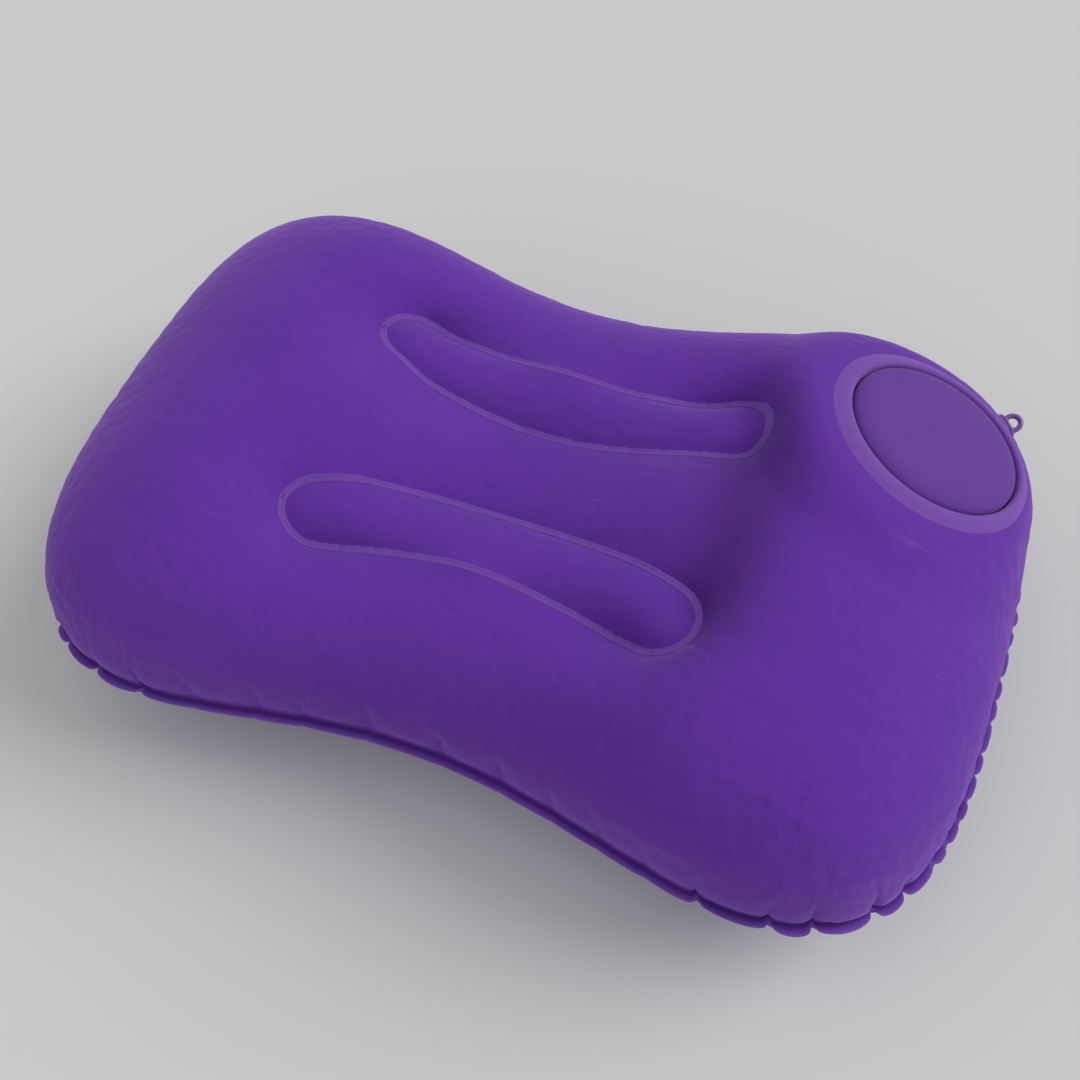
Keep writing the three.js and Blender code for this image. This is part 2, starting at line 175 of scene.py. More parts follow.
def soft_sun(name, direction, angle, power):
    """An even, soft light that comes from a direction given along the camera's right, up and back."""
    right, up, back = camera_axes()
    way = (direction[0] * right + direction[1] * up + direction[2] * back).normalized()
    data = bpy.data.lights.new(name, "SUN")
    data.angle = math.radians(angle)
    data.energy = power
    obj = bpy.data.objects.new(name, data)
    obj.rotation_euler = (-way).to_track_quat("-Z", "Y").to_euler()
    bpy.context.scene.collection.objects.link(obj)


def make_light():
    """A soft key from the upper right, a wide fill from the camera's side, and a pale surround."""
    soft_sun("key_light", (0.74, 0.46, 0.50), 38, 1.72)
    soft_sun("fill_light", (-0.3, 0.1, 1.0), 90, 0.35)
    world = bpy.data.worlds.new("studio")
    bpy.context.scene.world = world
    world.use_nodes = True
    background = world.node_tree.nodes["Background"]
    background.inputs["Color"].default_value = (1, 1, 1, 1)
    background.inputs["Strength"].default_value = 0.515
    bpy.context.scene.view_settings.view_transform = "Standard"


# ---- The inflated form ----

def smooth_step(low, high, value):
    """0 up to low, 1 from high on, and an easy curve between. Given backwards, it runs the other way."""
    share = np.clip((value - low) / (high - low), 0, 1)
    return share * share * (3 - 2 * share)


def nested(p, q):
    """From a square of -1..1 to the outline's own coordinates: squares become nested outlines."""
    level = np.maximum(np.abs(p), np.abs(q))
    safe = np.where(level == 0, 1, level)
    power = np.abs(p / safe) ** LOBE_POWER + np.abs(q / safe) ** LOBE_POWER
    shrink = np.where(level == 0, 1, np.where(power == 0, 1, power)) ** (-1 / LOBE_POWER)
    return p * shrink, q * shrink, level


def outline(u, v, inset):
    """Plan point for the outline's own coordinates, with the rim moved inwards by inset."""
    x = (HALF_LENGTH - inset - END_BOW * v * v) * u
    waist = WAIST_PULL * (0.5 + 0.5 * np.cos(np.pi * u))
    return x, (HALF_END_WIDTH - inset - waist) * v


def rise(u):
    """Height of the free form over the seam: low at the waist and high in the two end rolls."""
    along = np.minimum(1, np.abs(u) / ROLL_START)
    return MIDDLE_RISE + (END_RISE - MIDDLE_RISE) * np.sin(np.pi / 2 * along) ** 2


def loop_line(x):
    """Distance of a loop's middle line from the pillow's own, which grows towards its ends."""
    return LOOP_SPREAD + LOOP_FLARE * ((x - LOOP_SHIFT) / LOOP_HALF_LENGTH) ** 2


def loop_outline(side, steps=60, end_steps=26):
    """The closed looped weld on one side (1 at +Y, -1 at -Y), as points in plan."""
    reach = LOOP_HALF_LENGTH - LOOP_HALF_WIDTH
    along, turn = [], []
    for way in (1, -1):
        run = way * reach * np.linspace(-1, 1, steps, endpoint=False)
        along.extend(run)
        turn.extend(np.full(steps, -way * np.pi / 2))
        along.extend(np.full(end_steps, way * reach))
        turn.extend(-way * np.pi / 2 + np.pi * np.linspace(0, 1, end_steps, endpoint=False))
    along, turn = np.array(along), np.array(turn)
    x = LOOP_SHIFT + along
    angle = turn + np.arctan(2 * LOOP_FLARE * along / LOOP_HALF_LENGTH ** 2)
    points = np.stack([x, loop_line(x)], 1) + LOOP_HALF_WIDTH * np.stack([np.cos(angle), np.sin(angle)], 1)
    inner = points[:, 1] < loop_line(x)
    points[:, 1] += np.where(inner, TIP_PINCH * smooth_step(-55, -82, points[:, 0]), 0)
    points[:, 1] *= side
    return points


LOOPS = {"rear": loop_outline(1), "front": loop_outline(-1)}


def distance_to_closed_line(points, line):
    """Distance in plan from each point to the nearest piece of a closed line."""
    best = np.full(len(points), 1e9)
    for start, end in zip(line, np.roll(line, -1, axis=0)):
        edge = end - start
        share = np.clip(((points - start) @ edge) / (edge @ edge), 0, 1)
        foot = start + share[:, None] * edge
        best = np.minimum(best, np.hypot(*(points - foot).T))
    return best


def distance_to_loops(x, y):
    """Distance in plan to the nearer looped weld, for arrays of any shape."""
    points = np.stack([x.ravel(), y.ravel()], 1)
    near = np.minimum(*(distance_to_closed_line(points, line) for line in LOOPS.values()))
    return near.reshape(x.shape)


def inside_loops(x, y):
    """Whether a plan point lies within either loop."""
    reach = LOOP_HALF_LENGTH - LOOP_HALF_WIDTH
    along = np.clip(x - LOOP_SHIFT, -reach, reach)
    lean = np.cos(np.arctan(2 * LOOP_FLARE * along / LOOP_HALF_LENGTH ** 2))
    off_line = (np.abs(y) - loop_line(LOOP_SHIFT + along)) * lean
    return np.hypot(x - LOOP_SHIFT - along, off_line) < LOOP_HALF_WIDTH


def pull_at_weld(x, y):
    """How far the baffles hold the looped welds below the freely blown-up form. The outer side of each
    loop rides high at the waist and low either side of it, and the inner tips away from the pump ride up."""
    outside = smooth_step(25, 50, np.abs(y))
    ease = WAIST_EASE * outside * np.exp(-((x / WAIST_EASE_REACH) ** 2))
    outer_dip = OUTER_DIP * outside * np.exp(-(((np.abs(x) - OUTER_DIP_PLACE) / OUTER_DIP_REACH) ** 2))
    tip_ease = TIP_EASE * (1 - outside) * smooth_step(-50, -80, x)
    return LOOP_PULL - ease + outer_dip - tip_ease


def valley(x, y):
    """The hollow at the loops' tips, at the foot of the bolster that carries the pump."""
    across = (x - VALLEY_PLACE[0]) / VALLEY_REACH[0]
    along = (y - VALLEY_PLACE[1]) / VALLEY_REACH[1]
    return VALLEY_DEPTH * np.exp(-(across ** 2) - along ** 4)


class PullField:
    """The dip that the looped welds make in the top: a stretched sheet, held at the welds, that
    recovers over LOOP_REACH outside a loop, less by the pump, and over PAD_REACH inside it. It is
    solved once on a regular plan grid and then looked up."""

    STEP = 1.0
    HALF_X, HALF_Y = 216.0, 140.0
    ROUNDS = 900

    def __init__(self):
        xs = np.arange(-self.HALF_X, self.HALF_X + 1, self.STEP)
        ys = np.arange(-self.HALF_Y, self.HALF_Y + 1, self.STEP)
        gx, gy = np.meshgrid(xs, ys, indexing="ij")
        near = distance_to_loops(gx, gy)
        held = near < WELD_WIDTH / 2
        open_reach = LOOP_REACH - PUMP_SIDE_SHORTER * smooth_step(72, 92, gx)
        reach = np.where(inside_loops(gx, gy), PAD_REACH, open_reach)
        target = pull_at_weld(gx, gy)
        dip = target * np.exp(-near / reach)
        relax = 4 + (self.STEP / reach) ** 2
        for _ in range(self.ROUNDS):
            total = np.zeros_like(dip)
            total[1:-1, 1:-1] = dip[2:, 1:-1] + dip[:-2, 1:-1] + dip[1:-1, 2:] + dip[1:-1, :-2]
            dip = np.where(held, target, total / relax)
        self.dip = dip

    def at(self, x, y):
        """The dip at plan points, between the grid's values."""
        i = np.clip((x + self.HALF_X) / self.STEP, 0, self.dip.shape[0] - 1.001)
        j = np.clip((y + self.HALF_Y) / self.STEP, 0, self.dip.shape[1] - 1.001)
        i0, j0 = i.astype(int), j.astype(int)
        a, b = i - i0, j - j0
        low = self.dip[i0, j0] * (1 - a) + self.dip[i0 + 1, j0] * a
        high = self.dip[i0, j0 + 1] * (1 - a) + self.dip[i0 + 1, j0 + 1] * a
        return low * (1 - b) + high * b


PULL = PullField()


def flatten_at_pump(x, y, z):
    """The flat that the pump sits on, blended into the top around it, in a wide sweep on the inner
    side and a short one where the end of the pillow rolls over."""
    ax, ay = x - PUMP_CENTRE[0], y - PUMP_CENTRE[1]
    downhill = ax * PUMP_NORMAL[0] + ay * PUMP_NORMAL[1]
    drop = downhill / PUMP_NORMAL[2]
    distance = np.sqrt(ax ** 2 + ay ** 2 + drop ** 2)
    facing = downhill / (np.hypot(ax, ay) * np.hypot(*PUMP_NORMAL[:2]) + 1e-9)
    blend = PUMP_BLEND - OUTER_SHORTER * smooth_step(-0.3, 0.7, facing)
    share = smooth_step(PUMP_FLAT, blend, distance)
    return (PUMP_CENTRE[2] - drop) * (1 - share) + z * share


def crowded(count):
    """Grid lines from -1 to 1 that crowd together towards both ends, where the seam needs detail."""
    share = np.linspace(-1, 1, count + 1)
    return np.sign(share) * (1 - (1 - np.abs(share)) ** EDGE_CROWDING)


# ---- Gathers along the welded seam ----

PUFF = 1.5
PUFF_REACH = 5.5


class Seam:
    """The weld line round the pillow: lengths along it, and where the sheet gathers into notches."""

    STEPS = 2000

    def __init__(self):
        side = np.linspace(-1, 1, self.STEPS // 4, endpoint=False)
        one = np.ones_like(side)
        p = np.concatenate([side, one, -side, -one])
        q = np.concatenate([-one, side, one, -side])
        self.way = np.arctan2(q, p)
        u, v, _ = nested(p, q)
        x, y = outline(u, v, SEAM_WIDTH)
        step = np.hypot(np.diff(x, append=x[0]), np.diff(y, append=y[0]))
        self.length = np.concatenate([[0], np.cumsum(step)[:-1]])
        self.total = step.sum()
        self.u, self.v = u, v
        self.make_notches()

    def along(self, p, q):
        """Length along the weld line of the outline point in the direction of (p, q)."""
        way = np.unwrap(self.way)
        ask = np.arctan2(q, p)
        ask = np.where(ask < way[0], ask + 2 * np.pi, ask)
        return np.interp(ask, np.append(way, way[0] + 2 * np.pi), np.append(self.length, self.total))

    def make_notches(self):
        """Notches at a pitch that follows the curve: widely spaced and deep in the corners, close together
        on the ends, and barely there on the long sides. Those on the end away from the pump are weaker."""
        rng = np.random.default_rng(SEED)
        place, found = 0.0, []
        while place < self.total - 7:
            u = abs(np.interp(place, self.length, self.u))
            v = abs(np.interp(place, self.length, self.v))
            end = float(smooth_step(0.93, 0.99, u))
            corner = float(smooth_step(0.50, 0.72, min(u, v))) * (1 - end)
            pitch = 28 - 8 * corner - 16 * end
            away_from_pump = float(smooth_step(0.7, 0.9, -np.interp(place, self.length, self.u)))
            depth = 0.15 + 1.4 * corner + 0.55 * end
            depth = depth * rng.uniform(0.65, 1.2) * (1 - 0.45 * away_from_pump)
            found.append((place, depth, rng.uniform(0.7, 1.3)))
            place += pitch * rng.uniform(0.7, 1.25)
        self.places = np.array([place for place, _, _ in found])
        self.depths = np.array([depth for _, depth, _ in found])
        self.reaches = np.array([reach for _, _, reach in found])

    def gather(self, along, inward):
        """How much the sheet is drawn in at a length along the weld and a distance up from it."""
        total = np.zeros_like(along)
        for place, depth, reach in zip(self.places, self.depths, self.reaches):
            gap = np.abs(along - place)
            gap = np.minimum(gap, self.total - gap)
            width = 1.1 + 0.17 * inward
            total += depth * np.exp(-((gap / width) ** 2)) * np.exp(-inward / (8 * reach)) * 1.3
        return total

    def puff(self, along, inward):
        """How far the sheet bulges out between two notches, most of all a little way up from the weld."""
        swell, _ = self.lobe(along)
        return PUFF * swell * (inward / PUFF_REACH) * np.exp(1 - inward / PUFF_REACH)

    def lobe(self, along):
        """The scalloped edge of the seam: 0 in a notch, and up to its depth mid-way between two."""
        places = np.append(self.places, self.total + self.places[0])
        depths = np.append(self.depths, self.depths[0])
        index = np.searchsorted(places, along, side="right") - 1
        index = np.where(index < 0, len(places) - 2, index)
        after = np.minimum(index + 1, len(places) - 1)
        share = (along - places[index]) / (places[after] - places[index])
        swell = np.sqrt(np.clip(1 - (2 * share - 1) ** 2, 0, 1)) ** 0.8
        depth = depths[index] * (1 - share) + depths[after] * share
        return swell * depth, depth


SEAM = Seam()


# ---- Meshes ----

def make_mesh(name, points, faces, smooth=True):
    """A mesh object from points in millimetres."""
    mesh = bpy.data.meshes.new(name)
    mesh.from_pydata((np.asarray(points) * MM).tolist(), [], faces)
    mesh.validate()
    mesh.update()
    mesh.polygons.foreach_set("use_smooth", [smooth] * len(mesh.polygons))
    obj = bpy.data.objects.new(name, mesh)
    bpy.context.scene.collection.objects.link(obj)
    return obj


def apply_modifiers(obj):
    """Bakes an object's modifiers into its mesh."""
    evaluated = obj.evaluated_get(bpy.context.evaluated_depsgraph_get())
    mesh = bpy.data.meshes.new_from_object(evaluated)
    obj.modifiers.clear()
    obj.data = mesh


def add_attribute(obj, name, values):
    """Gives each point of a mesh a number that a material can read."""
    attribute = obj.data.attributes.new(name, "FLOAT", "POINT")
    attribute.data.foreach_set("value", np.asarray(values, dtype=np.float32))


def thicken(obj):
    """Gives a sheet its thickness, on the side away from its normals."""
    solid = obj.modifiers.new("thickness", "SOLIDIFY")
    solid.thickness = SKIN_THICKNESS * MM
    solid.offset = -1
    apply_modifiers(obj)


def border_indices(across, up):
    """Indices of a grid's border points, counter-clockwise, for points stored row by row."""
    def at(i, j):
        return j * (across + 1) + i
    low = [at(i, 0) for i in range(across)]
    right = [at(across, j) for j in range(up)]
    high = [at(i, up) for i in range(across, 0, -1)]
    left = [at(0, j) for j in range(up, 0, -1)]
    return low + right + high + left


def grid_faces(across, up, keep, facing_up):
    """The faces of a grid whose cells are marked in keep."""
    faces = []
    for j in range(up):
        for i in range(across):
            if not keep[j, i]:
                continue
            a = j * (across + 1) + i
            face = (a, a + 1, a + across + 2, a + across + 1)
            faces.append(face if facing_up else face[::-1])
    return faces


# ---- The sheets of the skin, blown up as cloth ----

SETTLE_CELLS = (150, 94)
SETTLE_FRAMES = 20
SETTLE_LIMIT = 3.5
SEAM_GROWTH = 0.05
SEAM_GROWTH_REACH = 14.0
HELD_AT_LOOPS = 2.5
HELD_BY_PUMP = 3.0
HELD_BY_FLOOR = 0.5


def sheet_grid(cells, height_at, facing_up):
    """Points of a panel on the outline's grid, drawn in at the gathers, with each point's level, its
    distance from the weld line, and its p and q on the grid."""
    across, up = cells
    p, q = np.meshgrid(crowded(across), crowded(up))
    u, v, level = nested(p, q)
    x, y = outline(u, v, SEAM_WIDTH)
    points = np.stack([x, y, height_at(u, level, x, y)], -1)
    safe = np.where(level == 0, 1, level)
    edge_u, edge_v, _ = nested(p / safe, q / safe)
    edge_x, edge_y = outline(edge_u, edge_v, SEAM_WIDTH)
    from_weld = np.sqrt((x - edge_x) ** 2 + (y - edge_y) ** 2 + (points[..., 2] - SEAM_HEIGHT) ** 2)
    along = SEAM.along(np.where(level == 0, 1, p), q)
    drawn = SEAM.gather(along, from_weld) - SEAM.puff(along, from_weld)
    normals = grid_normals(points) * (1 if facing_up else -1)
    return points - normals * drawn[..., None], level, from_weld, p, q


def settle(height_at, facing_up):
    """Blows a coarse copy of a panel up as cloth, held at its welds and where it meets the pump or the
    floor, and returns how far its points move. Near the seam the cloth is larger than its form, so
    that it puckers."""
    points, level, from_weld, _, _ = sheet_grid(SETTLE_CELLS, height_at, facing_up)
    across, up = SETTLE_CELLS
    faces = grid_faces(across, up, np.ones((up, across), bool), facing_up)
    obj = make_mesh("settling_sheet", points.reshape(-1, 3), faces)
    held = level > 0.9999
    if facing_up:
        held |= distance_to_loops(points[..., 0], points[..., 1]) < HELD_AT_LOOPS
        held |= np.linalg.norm(points - PUMP_CENTRE, axis=-1) < COLLAR_OUTER + HELD_BY_PUMP
    else:
        held |= points[..., 2] < HELD_BY_FLOOR
    pins = obj.vertex_groups.new(name="held")
    pins.add(np.flatnonzero(held.ravel()).tolist(), 1.0, "REPLACE")
    taut = obj.vertex_groups.new(name="taut")
    for index, weight in enumerate(1 - np.exp(-from_weld.ravel() / SEAM_GROWTH_REACH)):
        taut.add([index], float(weight), "REPLACE")
    cloth = obj.modifiers.new("cloth", "CLOTH")
    cloth.settings.quality = 5
    cloth.settings.mass = 0.002
    cloth.settings.tension_stiffness = 5
    cloth.settings.compression_stiffness = 5
    cloth.settings.shear_stiffness = 2
    cloth.settings.bending_stiffness = 0.02
    cloth.settings.vertex_group_mass = "held"
    cloth.settings.vertex_group_shrink = "taut"
    cloth.settings.shrink_min = -SEAM_GROWTH
    cloth.settings.shrink_max = 0
    cloth.settings.use_pressure = True
    cloth.settings.uniform_pressure_force = 4
    cloth.settings.effector_weights.gravity = 0
    cloth.collision_settings.use_collision = False
    cloth.point_cache.frame_start = 1
    cloth.point_cache.frame_end = SETTLE_FRAMES
    scene = bpy.context.scene
    for frame_number in range(1, SETTLE_FRAMES + 1):
        scene.frame_set(frame_number)
    result = obj.evaluated_get(bpy.context.evaluated_depsgraph_get()).data
    found = np.empty(len(result.vertices) * 3)
    result.vertices.foreach_get("co", found)
    moved = found.reshape(points.shape) / MM - points
    scene.frame_set(1)
    bpy.data.objects.remove(obj)
    size = np.linalg.norm(moved, axis=-1, keepdims=True)
    return moved * np.minimum(1, SETTLE_LIMIT / np.maximum(size, 1e-9))


def spread(moved, cells):
    """Carries the coarse sheet's movement onto a finer grid of the same panel."""
    across, up = cells
    i = np.arange(across + 1) * (SETTLE_CELLS[0] / across)
    j = np.arange(up + 1) * (SETTLE_CELLS[1] / up)
    i0 = np.minimum(i.astype(int), SETTLE_CELLS[0] - 1)
    j0 = np.minimum(j.astype(int), SETTLE_CELLS[1] - 1)
    a, b = (i - i0)[None, :, None], (j - j0)[:, None, None]
    rows = moved[j0] * (1 - b) + moved[j0 + 1] * b
    return rows[:, i0] * (1 - a) + rows[:, i0 + 1] * a


# The rows of the welded edge, from the weld outwards: where each lies, how far its nap is crushed, and how
# much paler its colour is made towards its outer rim.
FLANGE_ROWS = (0.7, 1.6, 2.6, 3.6, 4.5, 5.0)
WELD_CRUSH = (0.95, 0.7, 0.25, 0.0, 0.0, 0.0)
EDGE_PALING = (0.0, 0.0, 0.1, 0.25, 0.5, 0.7)
FLANGE_REACH = 4.0
FAR_END_SHORTER = 1.4


def sheet_with_flange(name, cells, height_at, facing_up, hole=None):
    """A panel of the skin: a grid over the outline, with its gathers, and its half of the seam."""
    across, up = cells
    points, _, _, p, q = sheet_grid(cells, height_at, facing_up)
    points = points + spread(settle(height_at, facing_up), cells)
    points[..., 2] = np.maximum(points[..., 2], 0)

    flat = points.reshape(-1, 3)
    keep = np.ones((up, across), bool)
    if hole is not None:
        centres = (points[:-1, :-1] + points[1:, 1:]) / 2
        keep = ~hole(centres)
    faces = grid_faces(across, up, keep, facing_up)

    border = border_indices(across, up)
    bp, bq = p.ravel()[border], q.ravel()[border]
    run = SEAM.along(bp, bq)
    bu, bv, _ = nested(bp, bq)
    fx, fy = outline(bu, bv, 0)
    wx, wy = outline(bu, bv, SEAM_WIDTH)
    outward = np.stack([fx - wx, fy - wy], 1) / SEAM_WIDTH
    swell, depth = SEAM.lobe(run)
    cusp = depth - swell
    wave = 0.5 * np.sin(run / 7.3) * np.sin(run / 31.0 + 1.0) * (0.4 + depth)
    rows = [border]
    weld_z = SEAM_HEIGHT + (WELD_HALF_GAP if facing_up else -WELD_HALF_GAP)
    weld = flat[border].copy()
    weld[:, :2] -= outward * (0.9 * cusp)[:, None]
    weld[:, 2] = weld_z
    flat[border] = weld
    total = [flat]
    count = len(flat)
    for reach in FLANGE_ROWS:
        share = reach / SEAM_WIDTH
        row = np.empty((len(border), 3))
        reach_here = FLANGE_REACH - FAR_END_SHORTER * smooth_step(-0.86, -0.97, bu)
        row[:, :2] = weld[:, :2] + outward * (share * (reach_here - 1.9 * cusp))[:, None]
        row[:, 2] = weld_z + share * (wave + 0.35 * cusp) - 0.4 * share
        total.append(row)
        rows.append(list(range(count, count + len(border))))
        count += len(border)
    for inner, outer in zip(rows[:-1], rows[1:]):
        for k in range(len(border)):
            n = (k + 1) % len(border)
            face = (inner[k], outer[k], outer[n], inner[n])
            faces.append(face if facing_up else face[::-1])
    every = np.concatenate(total)
    obj = make_mesh(name, every, faces)
    # Painted shade: darker colour in the hollow by the pump and in the pits at the loops' tips. At the weld
    # itself the value stands for flock pressed darker.
    weld_crush_and_painted_shade = painted_hollow_shade(flat[:, 0], flat[:, 1]) * facing_up
    weld_crush_and_painted_shade[border] = 0.9
    add_attribute(obj, "weld_crush_and_painted_shade", np.append(weld_crush_and_painted_shade, np.repeat(WELD_CRUSH, len(border))))
    add_attribute(obj, "paler_edge", np.append(np.zeros(len(flat)), np.repeat(EDGE_PALING, len(border))))
    clean(obj)
    return obj


def grid_normals(points):
    """Upward normals of a grid of points whose rows run along X."""
    du = np.gradient(points, axis=1)
    dv = np.gradient(points, axis=0)
    normal = np.cross(du, dv)
    return normal / np.maximum(np.linalg.norm(normal, axis=-1, keepdims=True), 1e-9)


def clean(obj):
    """Removes points that no face uses."""
    mesh = bmesh.new()
    mesh.from_mesh(obj.data)
    loose = [v for v in mesh.verts if not v.link_faces]
    bmesh.ops.delete(mesh, geom=loose, context="VERTS")
    mesh.to_mesh(obj.data)
    mesh.free()


def top_height(u, level, x, y):
    """Height of the upper skin: the free form less its dips, with the pump's flat blended in."""
    profile = np.clip(1 - level ** LOBE_POWER, 0, 1) ** FULLNESS
    inflated = SEAM_HEIGHT + WELD_HALF_GAP + (rise(u) - PULL.at(x, y) - valley(x, y)) * profile
    return flatten_at_pump(x, y, inflated)


def top_height_in_plan(x, y):
    """Height of the top over plan points well inside the outline, where level is still small."""
    v = y / (HALF_END_WIDTH - SEAM_WIDTH)
    for _ in range(6):
        u = x / (HALF_LENGTH - SEAM_WIDTH - END_BOW * v * v)
        v = y / (HALF_END_WIDTH - SEAM_WIDTH - WAIST_PULL * (0.5 + 0.5 * np.cos(np.pi * u)))
    level = (np.abs(u) ** LOBE_POWER + np.abs(v) ** LOBE_POWER) ** (1 / LOBE_POWER)
    return top_height(u, level, x, y)


def bottom_height(_u, level, _x, _y):
    """Height of the underside: a quarter round down from the seam, and flat on the floor within it. It
    takes what top_height takes, and needs only the level."""
    share = np.minimum(1, (1 - level) / FLAT_SHARE)
    fall = SEAM_HEIGHT - WELD_HALF_GAP
    return fall - fall * np.sqrt(1 - (1 - share) ** 2)


def painted_hollow_shade(x, y):
    """Painted shade: how much darker the flock is coloured in the hollow by the pump and round the loops'
    tips beside it, where shade falls.
    """
    deep = smooth_step(5, 20, PULL.at(x, y)) * smooth_step(50, 95, x)
    open_side = np.where(inside_loops(x, y), 0.45, 1.0)
    return np.clip(open_side * (0.75 * valley(x, y) / VALLEY_DEPTH + 0.55 * deep), 0, 1)


def in_pump(points):
    """Whether points lie where the skin is cut out for the pump."""
    arm = points - PUMP_CENTRE
    lift = arm @ PUMP_NORMAL
    radius = np.linalg.norm(arm - lift[..., None] * PUMP_NORMAL, axis=-1)
    return (radius < COLLAR_INNER + 3.5) & (np.abs(lift) < 25)


# ---- Materials ----

def new_material(name):
    """A new node material with its nodes and links."""
    material = bpy.data.materials.new(name)
    material.use_nodes = True
    return material, material.node_tree.nodes, material.node_tree.links


def srgb(*channels):
    """A linear colour from three channels of 0 to 255."""
    linear = [c / 255 / 12.92 if c <= 10 else ((c / 255 + 0.055) / 1.055) ** 2.4 for c in channels]
    return (*linear, 1)


def noise(nodes, links, place, scale, detail, roughness=0.55):
    """The value of a noise texture at a place."""
    node = nodes.new("ShaderNodeTexNoise")
    node.inputs["Scale"].default_value = scale
    node.inputs["Detail"].default_value = detail
    node.inputs["Roughness"].default_value = roughness
    links.new(place, node.inputs["Vector"])
    return node.outputs["Fac"]


def mixed(nodes, links, factor, a, b, blend="MIX"):
    """A colour mix. a and b are colours or sockets, and factor a number or a socket."""
    node = nodes.new("ShaderNodeMix")
    node.data_type = "RGBA"
    node.blend_type = blend
    for socket, value in ((node.inputs[0], factor), (node.inputs[6], a), (node.inputs[7], b)):
        if isinstance(value, bpy.types.NodeSocket):
            links.new(value, socket)
        else:
            socket.default_value = value
    return node.outputs[2]


def ramp(nodes, links, value, stops):
    """Grey levels for a value, from stops of (place, level)."""
    node = nodes.new("ShaderNodeValToRGB")
    links.new(value, node.inputs["Fac"])
    while len(node.color_ramp.elements) < len(stops):
        node.color_ramp.elements.new(0.5)
    for element, (place, level) in zip(node.color_ramp.elements, stops):
        element.position = place
        element.color = (level, level, level, 1)
    return node.outputs["Color"]


def flock(name, deep, light, grain_mm=0.45, sheen=0.5):
    """Velvety flock: soft nap patches and brushed streaks, fibre grain, and a pale sheen at grazing angles.
    The skin's own attributes say where its weld is pressed darker, where painted shade darkens its hollows,
    and where its welded edge is made paler towards the rim."""
    material, nodes, links = new_material(name)
    shader = nodes["Principled BSDF"]
    place = nodes.new("ShaderNodeTexCoord").outputs["Object"]
    brushed = nodes.new("ShaderNodeMapping")
    brushed.inputs["Rotation"].default_value = (0, 0, 0.5)
    brushed.inputs["Scale"].default_value = (30, 260, 120)
    links.new(place, brushed.inputs["Vector"])
    nap = ramp(nodes, links, noise(nodes, links, place, 16, 4, 0.55), ((0.3, 0.25), (0.72, 0.8)))
    streak_noise = noise(nodes, links, brushed.outputs["Vector"], 1.0, 4, 0.6)
    streak = ramp(nodes, links, streak_noise, ((0.35, 0.0), (0.75, 1.0)))
    grain = noise(nodes, links, place, 1 / (grain_mm * MM), 2, 0.7)
    grain_level = ramp(nodes, links, grain, ((0.3, 0.0), (0.7, 1.0)))
    colour = mixed(nodes, links, nap, deep, light)
    colour = mixed(nodes, links, 0.22, colour, mixed(nodes, links, streak, deep, light))
    colour = mixed(nodes, links, 0.25, colour, mixed(nodes, links, grain_level, deep, light))
    scuff_noise = noise(nodes, links, brushed.outputs["Vector"], 0.45, 6, 0.7)
    scuffs = ramp(nodes, links, scuff_noise, ((0.66, 0.0), (0.80, 0.35)))
    colour = mixed(nodes, links, scuffs, colour, srgb(140, 112, 184))
    # Painted shade in the hollows, and flock pressed darker at the seam weld, both mixed towards this dark
    # purple.
    weld_crush_and_painted_shade = nodes.new("ShaderNodeAttribute")
    weld_crush_and_painted_shade.attribute_name = "weld_crush_and_painted_shade"
    colour = mixed(nodes, links, weld_crush_and_painted_shade.outputs["Fac"], colour, srgb(66, 28, 112))
    # Paler colour towards the outer rim of the welded edge.
    paler_edge = nodes.new("ShaderNodeAttribute")
    paler_edge.attribute_name = "paler_edge"
    colour = mixed(nodes, links, paler_edge.outputs["Fac"], colour, srgb(128, 92, 176))
    links.new(colour, shader.inputs["Base Color"])
    shader.inputs["Roughness"].default_value = 0.92
    shader.inputs["Specular IOR Level"].default_value = 0.25
    shader.inputs["Sheen Weight"].default_value = sheen
    shader.inputs["Sheen Roughness"].default_value = 0.45
    shader.inputs["Sheen Tint"].default_value = srgb(190, 160, 225)
    bump = nodes.new("ShaderNodeBump")
    bump.inputs["Strength"].default_value = 0.5
    bump.inputs["Distance"].default_value = 0.05 * MM
    links.new(grain, bump.inputs["Height"])
    links.new(bump.outputs["Normal"], shader.inputs["Normal"])
    return material


def plastic(name, colour, roughness, coat=0.0):
    """Soft PVC: a little mottled, with fine scuffs in its gloss."""
    material, nodes, links = new_material(name)
    shader = nodes["Principled BSDF"]
    place = nodes.new("ShaderNodeTexCoord").outputs["Object"]
    cloud = noise(nodes, links, place, 350, 4)
    darker = tuple(c * 0.8 for c in colour[:3]) + (1,)
    links.new(mixed(nodes, links, cloud, darker, colour), shader.inputs["Base Color"])
    scuff_noise = noise(nodes, links, place, 2100, 3)
    scuff = ramp(nodes, links, scuff_noise, ((0.3, roughness * 0.8), (0.7, roughness)))
    links.new(scuff, shader.inputs["Roughness"])
    shader.inputs["Coat Weight"].default_value = coat
    bump = nodes.new("ShaderNodeBump")
    bump.inputs["Strength"].default_value = 0.3
    bump.inputs["Distance"].default_value = 0.05 * MM
    links.new(cloud, bump.inputs["Height"])
    links.new(bump.outputs["Normal"], shader.inputs["Normal"])
    return material


def foam_material():
    """Open-cell foam: small round cells, with painted shade that makes them darker in their hollows."""
    material, nodes, links = new_material("open_cell_foam")
    shader = nodes["Principled BSDF"]
    place = nodes.new("ShaderNodeTexCoord").outputs["Object"]
    cells = nodes.new("ShaderNodeTexVoronoi")
    cells.inputs["Scale"].default_value = 900
    links.new(place, cells.inputs["Vector"])
    colour = mixed(nodes, links, cells.outputs["Distance"], srgb(228, 222, 205), srgb(170, 160, 138))
    links.new(colour, shader.inputs["Base Color"])
    shader.inputs["Roughness"].default_value = 1.0
    bump = nodes.new("ShaderNodeBump")
    bump.inputs["Distance"].default_value = 0.4 * MM
    links.new(cells.outputs["Distance"], bump.inputs["Height"])
    links.new(bump.outputs["Normal"], shader.inputs["Normal"])
    return material


